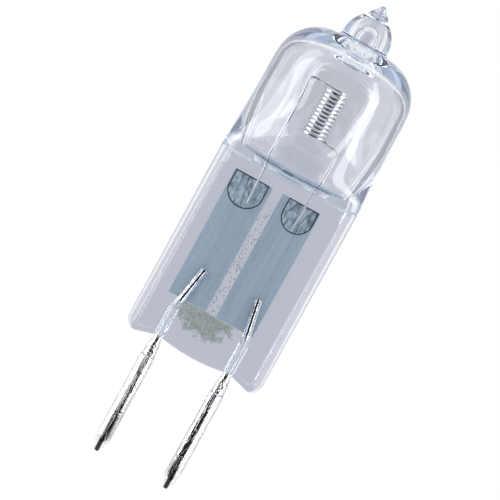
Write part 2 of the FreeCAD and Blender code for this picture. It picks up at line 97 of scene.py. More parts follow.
# The filament
WIRE_RADIUS = 0.11
WIRE_SIDES = 12
WIRE_CREASE = 50
LEG_FOOT_X = 2.06
LEG_FOOT_Z = 14.65
LEG_Y = 0.19
LEG_LEAN = 2.2
LEG_BEND = 0.4
BEND_STEPS = 8
TAB_FRONT = 0.28
COIL_RADIUS = 1.04
COIL_PITCH = 0.342
COIL_TURNS = 12
COIL_FOOT = 21.7
TURN_STEPS = 28

# The bulb and its exhaust tip
WAIST = 25.68
CROWN = 30.04
BULB_RADIUS = 5.85
BULB_TOP_RADIUS = 5.6
DOME_RADIUS = 3.5
TIP_RADIUS = 2.0
TIP_ROOT = 0.35
TIP_FOOT = 30.5
TIP_ROUND = 1.8
TIP_NECK = 1.15
TIP_POINT = 33.58
TIP_END = 0.12
POINT_BEVEL = 0.02
POINT_NARROWING = 0.7
SHOULDER_STEPS = 34
WALL_STEPS = 7
DOME_STEPS = 22
ROOT_STEPS = 8
TIP_STEPS = 12
POINT_STEPS = 6
GLASS_CREASE = 32

# The cavity. The rows of its floor are given as a share of the slot's depth, and a rise.
CAVITY_FLOOR = 18.8
SLOT_X = 4.6
SLOT_Y = 0.65
FLOOR_ROWS = ((0, 0), (0.5, 0), (0.85, 0), (0.96, 0.015))
INSIDE_RADIUS = 5.23
INSIDE_DOME = 2.5
CEILING = 28.89
BORE = 0.75
BORE_TOP = 31.39
BORE_LIP = 0.2
INSIDE_SHOULDER_STEPS = 30
INSIDE_DOME_STEPS = 20
LIP_STEPS = 6
BORE_STEPS = 10

# The shoulder's middle section lies at this share of its height and of the blend upwards.
MIDDLE_HEIGHT = 0.3
MIDDLE_BLEND = 0.32
SIDE_ROUND = 0.72

# Places round half of a section's side: angles, then widths close together at the rim's edge, then angles
SIDE_ANGLES = (0, 5, 10, 15, 20, 25, 30, 34, 38, 42, 45, 48, 50.5)
RIM_PLACES = (
    5.43, 5.4, 5.38, 5.36, 5.34, 5.32, 5.3, 5.28, 5.26, 5.24,
    5.22, 5.2, 5.18, 5.16, 5.13, 5.1, 5.07, 5.03, 4.98,
)
BEYOND_ANGLES = (71.5, 75, 79, 84)
FRONT_STEPS = 44

# Points of a skin closer than this are one.
MERGE_DISTANCE = 0.002


def deselect():
    """Back to object mode, with nothing selected."""
    if bpy.context.object and bpy.context.object.mode != "OBJECT":
        bpy.ops.object.mode_set(mode="OBJECT")
    bpy.ops.object.select_all(action="DESELECT")


def section_stations():
    """Places round a section as (part, share): right side, back, left side and front in turn."""
    middle = HALF_WIDTH - HALF_DEPTH
    rim = [math.degrees(math.acos((x - middle) / HALF_DEPTH)) for x in RIM_PLACES]
    half = [*SIDE_ANGLES, *rim, *BEYOND_ANGLES]
    angles = [-90.0] + [-a for a in reversed(half[1:])] + half
    side = [(angle + 90) / 180 for angle in angles]
    flat = [step / FRONT_STEPS for step in range(FRONT_STEPS)]
    shares = (side, flat, side, flat)
    return [(part, share) for part in range(4) for share in shares[part]]


STATIONS = section_stations()


def stadium(half_width, half_depth, part, share):
    """A point of a section with two straight faces and half-round sides."""
    x = half_width - half_depth
    way = 1 if part < 2 else -1
    if part % 2 == 0:
        angle = math.pi * (share - 0.5)
        return way * (x + half_depth * math.cos(angle)), way * half_depth * math.sin(angle)
    return way * x * (1 - 2 * share), way * half_depth


def oval(half_width, half_depth, part, share):
    """A point of a section of two small side arcs, tangent to two large arcs front and back."""
    side = half_depth * SIDE_ROUND
    x = half_width - side
    gap = half_depth - side
    drop = (x * x - gap * gap) / (2 * gap)
    meet = math.atan2(drop, x)
    way = 1 if part < 2 else -1
    if part % 2 == 0:
        angle = meet * (2 * share - 1)
        return way * (x + side * math.cos(angle)), way * side * math.sin(angle)
    angle = meet + (math.pi - 2 * meet) * share
    large = half_depth + drop
    return way * large * math.cos(angle), way * (large * math.sin(angle) - drop)


def circle(radius, part, share):
    """A point of a round section."""
    angle = math.pi / 2 * (part + share - 0.5)
    return radius * math.cos(angle), radius * math.sin(angle)


def blend(low, middle, high, share):
    """A smooth path through three values, the middle one at MIDDLE_BLEND."""
    m = MIDDLE_BLEND
    first = (share - m) * (share - 1) / m
    second = share * (share - 1) / (m * (m - 1))
    third = share * (share - m) / (1 - m)
    return low * first + middle * second + high * third


def shoulder_rows(foot, half_width, half_depth, radius, steps):
    """Sections that swell from a stadium at the foot to the round bulb at the waist."""
    left_over = (1 - MIDDLE_HEIGHT) ** 2
    depth = radius - (radius - half_depth) * left_over
    width = radius - (radius - half_width) * left_over
    middle_z = foot + (WAIST - foot) * MIDDLE_HEIGHT
    rows = []
    for step in range(steps + 1):
        share = step / steps
        row = []
        for part, along in STATIONS:
            low = stadium(half_width, half_depth, part, along)
            middle = oval(width, depth, part, along)
            high = circle(radius, part, along)
            x, y = (blend(a, b, c, share) for a, b, c in zip(low, middle, high))
            row.append((x, y, blend(foot, middle_z, WAIST, share)))
        rows.append(row)
    return rows


def ring(radius, z):
    """A round row of points."""
    return [(*circle(radius, part, along), z) for part, along in STATIONS]


def arc_rings(centre_x, centre_z, radius, start, end, steps):
    """Rings along an arc of the turned profile, from one angle to another in degrees, ends included."""
    rows = []
    for step in range(steps + 1):
        angle = math.radians(start + (end - start) * step / steps)
        rows.append(ring(centre_x + radius * math.cos(angle), centre_z + radius * math.sin(angle)))
    return rows


def line_rings(start, end, steps):
    """Rings along a straight piece of the turned profile, without its ends."""
    shares = [step / steps for step in range(1, steps)]
    return [ring(start[0] + (end[0] - start[0]) * t, start[1] + (end[1] - start[1]) * t) for t in shares]


def lower_edge(x):
    """Height of the pinch's wavy lower edge: round corners, a rise at each lead, a sag between them."""
    x = abs(x)
    corner_x = HALF_WIDTH - CORNER_RADIUS
    if x >= corner_x:
        reach = min(x - corner_x, CORNER_RADIUS)
        return PINCH_BOTTOM + CORNER_RADIUS - math.sqrt(CORNER_RADIUS**2 - reach**2)
    if x >= PIN_X:
        return PINCH_BOTTOM + DIMPLE * (corner_x - x) / (corner_x - PIN_X)
    radius = (PIN_X**2 + MIDDLE_DIP**2) / (2 * MIDDLE_DIP)
    return PINCH_BOTTOM + DIMPLE - MIDDLE_DIP + radius - math.sqrt(radius**2 - x**2)


def ease(share):
    """A gentle step from 0 to 1."""
    share = min(max(share, 0), 1)
    return share * share * (3 - 2 * share)


def pressed(x, y, z):
    """Depth of a pinch surface point: the flat pressed face, or the rim that stands beside it."""
    if abs(y) <= WEB_DEPTH:
        return y
    edge = WEB_X + (WEB_NARROW_X - WEB_X) * ease((z - WEB_STEP_Z) / WEB_STEP_LENGTH + 0.5)
    inside = min(abs(x) - edge, z - RIM_END_Z)
    end_x = WEB_X + RIM_END_RADIUS
    end_z = RIM_END_Z + RIM_END_RADIUS
    if abs(x) < end_x and z < end_z:
        inside = RIM_END_RADIUS - math.hypot(abs(x) - end_x, z - end_z)
    share = max(ease(inside / RIM_SLOPE), ease((z - PINCH_TOP) / TOP_SLOPE + 1))
    return math.copysign(WEB_DEPTH + (abs(y) - WEB_DEPTH) * share, y)


def pinch_row(height, depth_share=1.0):
    """One row of the pinch. The height is a function of x."""
    row = []
    for part, along in STATIONS:
        x, y = stadium(HALF_WIDTH, HALF_DEPTH, part, along)
        z = height(x)
        row.append((x, pressed(x, y, z) * depth_share, z))
    return row


def pinch_rows():
    """From a line along the middle of the lower face, out to its edge and up to the top line."""
    rows = [pinch_row(lower_edge, 0.0)]
    for step in range(EDGE_STEPS + 1):
        angle = math.pi / 2 * step / EDGE_STEPS
        rise = EDGE_ROUND * (1 - math.cos(angle))
        out = 1 - EDGE_DEPTH * (1 - math.sin(angle))
        rows.append(pinch_row(lambda x: lower_edge(x) + rise, out))
    for rise in EDGE_RISES:
        rows.append(pinch_row(lambda x: lower_edge(x) + rise))
    last_rise = EDGE_RISES[-1]
    first_level = LOWER_LEVELS[0]
    for share in LEVELLING_SHARES:
        rows.append(pinch_row(lambda x: (lower_edge(x) + last_rise) * (1 - share) + first_level * share))
    narrowing = [step / WEB_NARROWING_STEPS - 0.5 for step in range(WEB_NARROWING_STEPS + 1)]
    narrowing = [WEB_STEP_Z + WEB_STEP_LENGTH * share for share in narrowing]
    top = [step / TOP_SLOPE_STEPS for step in range(TOP_SLOPE_STEPS + 1)]
    top = [PINCH_TOP - TOP_SLOPE * (1 - share) for share in top]
    for z in (*LOWER_LEVELS, *narrowing, *UPPER_LEVELS, *top):
        rows.append(pinch_row(lambda x: z))
    return rows


def outer_rows():
    """The whole outside of the quartz, from the lower face to the point of the tip."""
    lean = math.atan((BULB_RADIUS - BULB_TOP_RADIUS) / (CROWN - WAIST))
    dome_z = CROWN - DOME_RADIUS
    side_x = BULB_TOP_RADIUS + DOME_RADIUS * math.tan(lean)
    dome_x = side_x - DOME_RADIUS / math.cos(lean)
    dome_start = (dome_x + DOME_RADIUS * math.cos(lean), dome_z + DOME_RADIUS * math.sin(lean))
    rows = pinch_rows()
    rows += shoulder_rows(PINCH_TOP, HALF_WIDTH, HALF_DEPTH, BULB_RADIUS, SHOULDER_STEPS)[1:]
    rows += line_rings((BULB_RADIUS, WAIST), dome_start, WALL_STEPS)
    rows += arc_rings(dome_x, dome_z, DOME_RADIUS, math.degrees(lean), 90, DOME_STEPS)
    rows += arc_rings(TIP_RADIUS + TIP_ROOT, CROWN + TIP_ROOT, TIP_ROOT, 270, 180, ROOT_STEPS)
    lost = TIP_RADIUS - TIP_NECK
    round_radius = (TIP_ROUND**2 + lost**2) / (2 * lost)
    round_x = TIP_RADIUS - round_radius
    neck_angle = math.degrees(math.asin(TIP_ROUND / round_radius))
    rows += arc_rings(round_x, TIP_FOOT, round_radius, 0, neck_angle, TIP_STEPS)
    rows += line_rings((TIP_NECK, TIP_FOOT + TIP_ROUND), (TIP_END, TIP_POINT), POINT_STEPS)
    rows.append(ring(TIP_END, TIP_POINT - POINT_BEVEL))
    rows.append(ring(TIP_END * POINT_NARROWING, TIP_POINT))
    rows.append(ring(0, TIP_POINT))
    return rows


def cavity_rows():
    """The gas space, from the slot on its floor to the end of the exhaust bore."""
    slot = [stadium(SLOT_X, SLOT_Y, part, along) for part, along in STATIONS]
    rows = []
    for depth_share, rise in FLOOR_ROWS:
        rows.append([(x, y * depth_share, CAVITY_FLOOR + rise) for x, y in slot])
    rows += shoulder_rows(CAVITY_FLOOR, SLOT_X, SLOT_Y, INSIDE_RADIUS, INSIDE_SHOULDER_STEPS)[1:]
    dome_z = CEILING - INSIDE_DOME
    rows += line_rings((INSIDE_RADIUS, WAIST), (INSIDE_RADIUS, dome_z), WALL_STEPS)
    rows += arc_rings(INSIDE_RADIUS - INSIDE_DOME, dome_z, INSIDE_DOME, 0, 90, INSIDE_DOME_STEPS)
    rows += arc_rings(BORE + BORE_LIP, CEILING + BORE_LIP, BORE_LIP, 270, 180, LIP_STEPS)
    rows += arc_rings(0, BORE_TOP - BORE, BORE, 0, 90, BORE_STEPS)
    return rows


def skin(name, rows):
    """A closed skin: a grid whose rows are wrapped round the sections, its seam and ends merged."""
    deselect()
    around = len(rows[0])
    bpy.ops.mesh.primitive_grid_add(x_subdivisions=around, y_subdivisions=len(rows) - 1, size=1)
    made = bpy.context.object
    made.name = name
    points = [row[index % around] for row in rows for index in range(around + 1)]
    for vertex, point in zip(made.data.vertices, points):
        vertex.co = Vector(point) * MM
    bpy.ops.object.mode_set(mode="EDIT")
    bpy.ops.mesh.select_all(action="SELECT")
    bpy.ops.mesh.remove_doubles(threshold=MERGE_DISTANCE * MM)
    bpy.ops.mesh.dissolve_degenerate(threshold=MERGE_DISTANCE * MM)
    bpy.ops.mesh.normals_make_consistent(inside=False)
    bpy.ops.object.mode_set(mode="OBJECT")
    return made


def bore_channels(glass):
    """Cut the round channels in which the leads lie loose below their foils."""
    for way in (-1, 1):
        deselect()
        bpy.ops.mesh.primitive_cylinder_add(
            vertices=CHANNEL_SIDES,
            radius=CHANNEL_RADIUS * MM,
            depth=CHANNEL_TOP * MM,
            location=(way * PIN_X * MM, 0, CHANNEL_TOP / 2 * MM),
        )
        drill = bpy.context.object
        cut = glass.modifiers.new("channel", "BOOLEAN")
        cut.operation = "DIFFERENCE"
        cut.solver = "EXACT"
        cut.object = drill
        deselect()
        glass.select_set(True)
        bpy.context.view_layer.objects.active = glass
        bpy.ops.object.modifier_apply(modifier=cut.name)
        bpy.data.objects.remove(drill)


def make_quartz():
    """One piece of quartz: the outer skin, the channels for the leads and the gas space."""
    glass = skin("quartz_body", outer_rows())
    bore_channels(glass)
    cavity = skin("gas_space", cavity_rows())
    bpy.ops.object.mode_set(mode="EDIT")
    bpy.ops.mesh.select_all(action="SELECT")
    bpy.ops.mesh.flip_normals()
    bpy.ops.object.mode_set(mode="OBJECT")
    deselect()
    cavity.select_set(True)
    glass.select_set(True)
    bpy.context.view_layer.objects.active = glass
    bpy.ops.object.join()
    bpy.ops.object.shade_smooth_by_angle(angle=math.radians(GLASS_CREASE))
    return glass


def leg_to_coil(height):
    """For a leg of this height: its top's x, the angle where its run meets the coil, the run's length."""
    x = LEG_FOOT_X + (height - LEG_FOOT_Z) * math.tan(math.radians(LEG_LEAN))
    away = math.hypot(x, LEG_Y)
    angle = math.atan2(LEG_Y, x) + math.acos(COIL_RADIUS / away)
    return x, angle, math.sqrt(away**2 - COIL_RADIUS**2)


def bend_points(before, corner, after):
    """Points of the arc that rounds a corner between two straight runs."""
    inward = (corner - before).normalized()
    outward = (after - corner).normalized()
    turn = inward.angle(outward)
    start = corner - inward * LEG_BEND * math.tan(turn / 2)
    across = (outward - inward * inward.dot(outward)).normalized()
    points = []
    for step in range(BEND_STEPS + 1):
        angle = turn * step / BEND_STEPS
        points.append(start + (inward * math.sin(angle) + across * (1 - math.cos(angle))) * LEG_BEND)
    return points


def filament_path():
    """The wire's centre line: right leg, corner, run, coil, run, corner and left leg."""
    right_x, right_angle, right_run = leg_to_coil(COIL_FOOT)
    left_x, left_angle, left_run = leg_to_coil(COIL_FOOT + COIL_TURNS * COIL_PITCH)
    turns = COIL_TURNS + (math.pi - left_angle - right_angle) / (2 * math.pi)
    slope = COIL_PITCH / (2 * math.pi * COIL_RADIUS)
    steps = round(turns * TURN_STEPS)
    coil = []
    for step in range(steps + 1):
        turned = turns * step / steps
        angle = right_angle + 2 * math.pi * turned
        x = COIL_RADIUS * math.cos(angle)
        y = COIL_RADIUS * math.sin(angle)
        coil.append(Vector((x, y, COIL_FOOT + turned * COIL_PITCH)))
    right_foot = Vector((LEG_FOOT_X, LEG_Y, LEG_FOOT_Z))
    left_foot = Vector((-LEG_FOOT_X, LEG_Y, LEG_FOOT_Z))
    right_top = Vector((right_x, LEG_Y, COIL_FOOT - right_run * slope))
    left_top = Vector((-left_x, LEG_Y, COIL_FOOT + turns * COIL_PITCH + left_run * slope))
    legs = []
    for foot, top in ((right_foot, right_top), (left_foot, left_top)):
        shares = [(z - foot.z) / (top.z - foot.z) for z in (LEG_FOOT_Z, TAB_TOP, CAVITY_FLOOR)]
        legs.append([foot.lerp(top, share) for share in shares])
    right_bend = bend_points(right_foot, right_top, coil[0])
    left_bend = bend_points(coil[-1], left_top, left_foot)
    return [*legs[0], *right_bend, *coil, *left_bend, *reversed(legs[1])]


def wire_rows(path):
    """Round sections along a path, each turned as little as can be from the last, and closed at both ends.
    Below the tops of the tabs the wire has a flat, where it is welded on."""
    rows = [[path[0]] * WIRE_SIDES]
    side = Vector((0, 1, 0))
    for index, point in enumerate(path):
        ahead = (path[min(index + 1, len(path) - 1)] - path[max(index - 1, 0)]).normalized()
        side = (side - ahead * side.dot(ahead)).normalized()
        other = ahead.cross(side)
        row = []
        for step in range(WIRE_SIDES):
            angle = 2 * math.pi * step / WIRE_SIDES
            spot = point + (side * math.cos(angle) + other * math.sin(angle)) * WIRE_RADIUS
            if point.z < TAB_TOP:
                spot.y = min(spot.y, TAB_FRONT)
            row.append(spot)
        rows.append(row)
    rows.append([path[-1]] * WIRE_SIDES)
    return rows


def make_filament():
    """The tungsten wire in one piece, round along its whole length."""
    wire = skin("filament_wire", wire_rows(filament_path()))
    bpy.ops.object.shade_smooth_by_angle(angle=math.radians(WIRE_CREASE))
    return wire


# Places of the colour sockets on a Mix node
MIX_SHARE = 0
MIX_FIRST = 6
MIX_SECOND = 7
MIX_RESULT = 2


def feed(tree, socket, value):
    """Set an input to a plain value, or link it to the output that feeds it."""
    if isinstance(value, bpy.types.NodeSocket):
        tree.links.new(value, socket)
    else:
        socket.default_value = value


def put(tree, kind, inputs=None, **settings):
    """Add a node. Each input is a plain value, or the output socket that feeds it."""
    made = tree.nodes.new("ShaderNode" + kind)
    for key, value in settings.items():
        setattr(made, key, value)
    for key, value in (inputs or {}).items():
        feed(tree, made.inputs[key], value)
    return made


def calc(tree, operation, *values):
    """A Math node's result."""
    return put(tree, "Math", dict(enumerate(values)), operation=operation).outputs[0]


def product(tree, first, *others):
    """Masks and values multiplied together."""
    total = first
    for value in others:
        total = calc(tree, "MULTIPLY", total, value)
    return total


def distance(tree, first, second):
    """The length of a slope with these two sides."""
    squares = [calc(tree, "POWER", side, 2.0) for side in (first, second)]
    return calc(tree, "SQRT", calc(tree, "ADD", *squares))


def ramp(tree, value, low, high, start=0.0, end=1.0):
    """A soft step: start up to low, end from high on."""
    inputs = {"Value": value, "From Min": low, "From Max": high, "To Min": start, "To Max": end}
    return put(tree, "MapRange", inputs, interpolation_type="SMOOTHSTEP").outputs["Result"]


def rising(tree, length, span):
    """A soft step from 0 to 1 over a span in millimetres."""
    return ramp(tree, length, span[0] * MM, span[1] * MM)


def falling(tree, length, span):
    """A soft step from 1 to 0 over a span in millimetres."""
    return ramp(tree, length, span[0] * MM, span[1] * MM, 1.0, 0.0)


def blend_colors(tree, share, first, second):
    """A colour between two, as sockets or plain colours."""
    inputs = {MIX_SHARE: share, MIX_FIRST: first, MIX_SECOND: second}
    return put(tree, "Mix", inputs, data_type="RGBA").outputs[MIX_RESULT]


def new_group(name, inputs, outputs):
    """An empty effect with named sockets. Gives its tree, its input node and its output node."""
    tree = bpy.data.node_groups.new(name, "ShaderNodeTree")
    for label, kind in inputs.items():
        tree.interface.new_socket(label, in_out="INPUT", socket_type="NodeSocket" + kind)
    for label in outputs:
        tree.interface.new_socket(label, in_out="OUTPUT", socket_type="NodeSocketFloat")
    return tree, tree.nodes.new("NodeGroupInput").outputs, tree.nodes.new("NodeGroupOutput").inputs


# How much of a noise counts: none below the first value, all above the second
STREAK_BAND = (0.3, 0.7)
PATCH_BAND = (0.35, 0.65)
GRAIN_BAND = (0.32, 0.68)
# How many times finer the grain is than the patches
GRAIN_FINER = 7.0
# Stretch and tilt of the two sets of scratches
SCRATCH_SETS = (((1, 1, 0.12), 0.35), ((1, 1, 0.2), -0.6))


def streaks_group():
    """Long fine marks along the axis, as drawing leaves on wire, foil and glass."""
    inputs = {"Place": "Vector", "Across": "Float", "Along": "Float"}
    tree, given, result = new_group("drawn_streaks", inputs, ["Streaks"])
    stretch = put(tree, "CombineXYZ", {"X": given["Across"], "Y": given["Across"], "Z": given["Along"]})
    moved = put(tree, "VectorMath", {0: given["Place"], 1: stretch.outputs[0]}, operation="MULTIPLY")
    look = {"Vector": moved.outputs[0], "Scale": 1.0, "Detail": 3.0, "Roughness": 0.6}
    noise = put(tree, "TexNoise", look)
    feed(tree, result["Streaks"], ramp(tree, noise.outputs["Fac"], *STREAK_BAND))
    return tree


def mottle_group():
    """Uneven patches and a finer grain, as etching, heat and handling leave."""
    tree, given, result = new_group("mottle", {"Place": "Vector", "Fineness": "Float"}, ["Patches", "Grain"])
    broad = put(tree, "TexNoise", {"Vector": given["Place"], "Scale": given["Fineness"], "Detail": 2.0})
    finer = calc(tree, "MULTIPLY", given["Fineness"], GRAIN_FINER)
    look = {"Vector": given["Place"], "Scale": finer, "Detail": 4.0, "Roughness": 0.65}
    fine = put(tree, "TexNoise", look)
    feed(tree, result["Patches"], ramp(tree, broad.outputs["Fac"], *PATCH_BAND))
    feed(tree, result["Grain"], ramp(tree, fine.outputs["Fac"], *GRAIN_BAND))
    return tree


def scratches_group():
    """Thin stray lines, as a socket leaves on a pin. The weld tabs use them for their painted crease shade.
    """
    inputs = {"Place": "Vector", "Fineness": "Float", "Width": "Float"}
    tree, given, result = new_group("scratches", inputs, ["Lines"])
    sets = []
    for stretch, tilt in SCRATCH_SETS:
        lie = {"Vector": given["Place"], "Rotation": (0, tilt, tilt / 2), "Scale": stretch}
        turned = put(tree, "Mapping", lie).outputs[0]
        noise = put(tree, "TexNoise", {"Vector": turned, "Scale": given["Fineness"], "Detail": 1.0})
        off = calc(tree, "ABSOLUTE", calc(tree, "SUBTRACT", noise.outputs["Fac"], 0.5))
        sets.append(ramp(tree, off, 0.0, given["Width"], 1.0, 0.0))
    feed(tree, result["Lines"], calc(tree, "MAXIMUM", *sets))
    return tree


def tab_edge_group():
    """The dark line round a weld tab with a flat top and a round lower end. Lengths are in metres."""
    lengths = ["Middle", "Half Width", "Top", "Round Middle", "Round Radius", "Line"]
    inputs = {"Place": "Vector", **{label: "Float" for label in lengths}}
    tree, given, result = new_group("tab_edge", inputs, ["Edge"])
    spot = put(tree, "SeparateXYZ", {0: given["Place"]}).outputs
    across = calc(tree, "ABSOLUTE", calc(tree, "SUBTRACT", spot["X"], given["Middle"]))
    side = calc(tree, "SUBTRACT", given["Half Width"], across)
    top = calc(tree, "SUBTRACT", given["Top"], spot["Z"])
    drop = calc(tree, "MINIMUM", calc(tree, "SUBTRACT", spot["Z"], given["Round Middle"]), 0.0)
    low = calc(tree, "SUBTRACT", given["Round Radius"], distance(tree, across, drop))
    nearest = calc(tree, "MINIMUM", calc(tree, "MINIMUM", side, top), low)
    half_line = calc(tree, "MULTIPLY", given["Line"], 0.5)
    feed(tree, result["Edge"], ramp(tree, nearest, half_line, given["Line"], 1.0, 0.0))
    return tree


STREAKS = streaks_group()
MOTTLE = mottle_group()
SCRATCHES = scratches_group()
TAB_EDGE = tab_edge_group()


def use_group(tree, group, inputs):
    """Place an effect in a material with its own values."""
    return put(tree, "Group", inputs, node_tree=group).outputs


def streaks(tree, place, fineness):
    """Drawing marks of this fineness across and along."""
    across, along = fineness
    return use_group(tree, STREAKS, {"Place": place, "Across": across, "Along": along})["Streaks"]


def mottle(tree, place, fineness):
    """Patches and grain of this fineness."""
    return use_group(tree, MOTTLE, {"Place": place, "Fineness": fineness})


def scratches(tree, place, fineness, width):
    """Stray lines of this fineness and width."""
    return use_group(tree, SCRATCHES, {"Place": place, "Fineness": fineness, "Width": width})["Lines"]


def new_material(name):
    """A material with its tree, its shader and the place on the piece that its patterns read."""
    material = bpy.data.materials.new(name)
    material.use_nodes = True
    tree = material.node_tree
    place = put(tree, "TexCoord").outputs["Object"]
    return material, tree, tree.nodes["Principled BSDF"], place


def raise_surface(tree, shader, height, size):
    """Relief of this size in millimetres."""
    bump = put(tree, "Bump", {"Height": height, "Distance": size * MM, "Strength": 1.0})
    feed(tree, shader.inputs["Normal"], bump.outputs[0])


# Clear quartz, with drawing marks on the blown bulb alone
CLEAR = (1, 1, 1, 1)
QUARTZ_IOR = 1.458
ABSORPTION = {"Color": (0, 0.2, 0.5, 1), "Density": 50.0}
GLASS_MARKS = (1100.0, 12.0)
GLASS_RELIEF = 0.0018
BLOWN = (PINCH_TOP, PINCH_TOP + 2)
BACK_FACE = (1.1, 1.3)
# Light that has turned more often than this goes straight out, in this tint.
MOST_TURNS = 4.5
STRAIGHT_TINT = (0.93, 0.96, 1, 1)
# The worn green field on the back of the pinch
FIELD_GREEN = (0.11, 0.19, 0.085, 1)
FIELD_X = -0.6
FIELD_Z = 5.3
FIELD_WIDE = 3.0
FIELD_DEEP = 2.3
FIELD_TOP = (5.25, 5.4)
FIELD_EDGE = (0.85, 1.15)
FIELD_FINENESS = 1500.0
FIELD_WEAR = 0.3
FIELD_SPECKLE = 0.5
FIELD_ROUGHNESS = 0.3
# The stray specks above it
SPECK_BROWN = (0.2, 0.19, 0.18, 1)
SPECK_X = -0.35
SPECK_SIDES = (0.15, 0.9)
SPECK_FOOT = (4, 6)
SPECK_HEAD = (13, 17)
SPECK_FINENESS = 900.0
SPECK_BAND = (0.72, 0.9)


def green_field(tree, place, spot, back):
    """Two masks of the worn field: where it lies, and how much of its colour shows."""
    mottled = mottle(tree, place, FIELD_FINENESS)
    wide = calc(tree, "DIVIDE", calc(tree, "SUBTRACT", spot["X"], FIELD_X * MM), FIELD_WIDE * MM)
    deep = calc(tree, "DIVIDE", calc(tree, "SUBTRACT", spot["Z"], FIELD_Z * MM), FIELD_DEEP * MM)
    worn = calc(tree, "MULTIPLY_ADD", mottled["Patches"], FIELD_WEAR, distance(tree, wide, deep))
    inside = ramp(tree, worn, *FIELD_EDGE, 1.0, 0.0)
    field = product(tree, inside, falling(tree, spot["Z"], FIELD_TOP), back)
    speckle = calc(tree, "MULTIPLY_ADD", mottled["Grain"], FIELD_SPECKLE, 1 - FIELD_SPECKLE)
    return field, product(tree, field, speckle)


def stray_specks(tree, place, spot, back):
    """A mask of small specks up the middle of the pinch's back."""
    beside = calc(tree, "ABSOLUTE", calc(tree, "SUBTRACT", spot["X"], SPECK_X * MM))
    grains = ramp(tree, mottle(tree, place, SPECK_FINENESS)["Grain"], *SPECK_BAND)
    foot = rising(tree, spot["Z"], SPECK_FOOT)
    head = falling(tree, spot["Z"], SPECK_HEAD)
    return product(tree, grains, falling(tree, beside, SPECK_SIDES), foot, head, back)


def quartz_material():
    """Clear quartz with faint drawing marks, and a worn field and specks on the back of the pinch."""
    material, tree, shader, place = new_material("clear_quartz")
    shader.inputs["IOR"].default_value = QUARTZ_IOR
    shader.inputs["Transmission Weight"].default_value = 1.0
    spot = put(tree, "SeparateXYZ", {0: place}).outputs
    back = rising(tree, spot["Y"], BACK_FACE)
    field, tint = green_field(tree, place, spot, back)
    color = blend_colors(tree, tint, CLEAR, FIELD_GREEN)
    color = blend_colors(tree, stray_specks(tree, place, spot, back), color, SPECK_BROWN)
    feed(tree, shader.inputs["Base Color"], color)
    feed(tree, shader.inputs["Roughness"], calc(tree, "MULTIPLY", field, FIELD_ROUGHNESS))
    marks = product(tree, streaks(tree, place, GLASS_MARKS), rising(tree, spot["Z"], BLOWN))
    raise_surface(tree, shader, marks, GLASS_RELIEF)
    output = tree.nodes["Material Output"].inputs
    feed(tree, output["Volume"], put(tree, "VolumeAbsorption", ABSORPTION).outputs[0])
    trapped = calc(tree, "GREATER_THAN", put(tree, "LightPath").outputs["Ray Depth"], MOST_TURNS)
    straight = put(tree, "BsdfTransparent", {"Color": STRAIGHT_TINT})
    mix = put(tree, "MixShader", {0: trapped, 1: shader.outputs[0], 2: straight.outputs[0]})
    feed(tree, output["Surface"], mix.outputs[0])
    return material


# The plated pins, with dents on the neck and a painted reflection: a dark stripe down the middle of the nose
PIN_GREY = (0.84, 0.84, 0.85, 1)
PIN_BRIGHT = (0.93, 0.93, 0.94, 1)
PIN_MARKS = (9000.0, 500.0)
PIN_FINENESS = 2200.0
PIN_ROUGHNESS = 0.03
PIN_RELIEF = 0.004
MARK_HEIGHT = 3.0
MARK_GREY = (0.3, 0.3, 0.31, 1)
SCRATCH_FINENESS = 2600.0
SCRATCH_WIDTH = 0.01
SCRATCH_SHADE = 0.5
SCRATCH_DEPTH = 2.0
NECK_FOOT = (0.05, 0.2)
NECK_HEAD = (1.2, 1.4)
DENT_FINENESS = 2600.0
DENT_BAND = (0.2, 0.45)
DENT_SHADE = 0.6
DENT_DEPTH = 12.0
# A painted reflection: the dark stripe painted down the middle of each pin's nose
NOSE_PAINTED_REFLECTION = (0.04, 0.04, 0.042, 1)
NOSE_REFLECTION_SIDES = (0.13, 0.24)
NOSE_REFLECTION_TOP = (-7.9, -7.4)


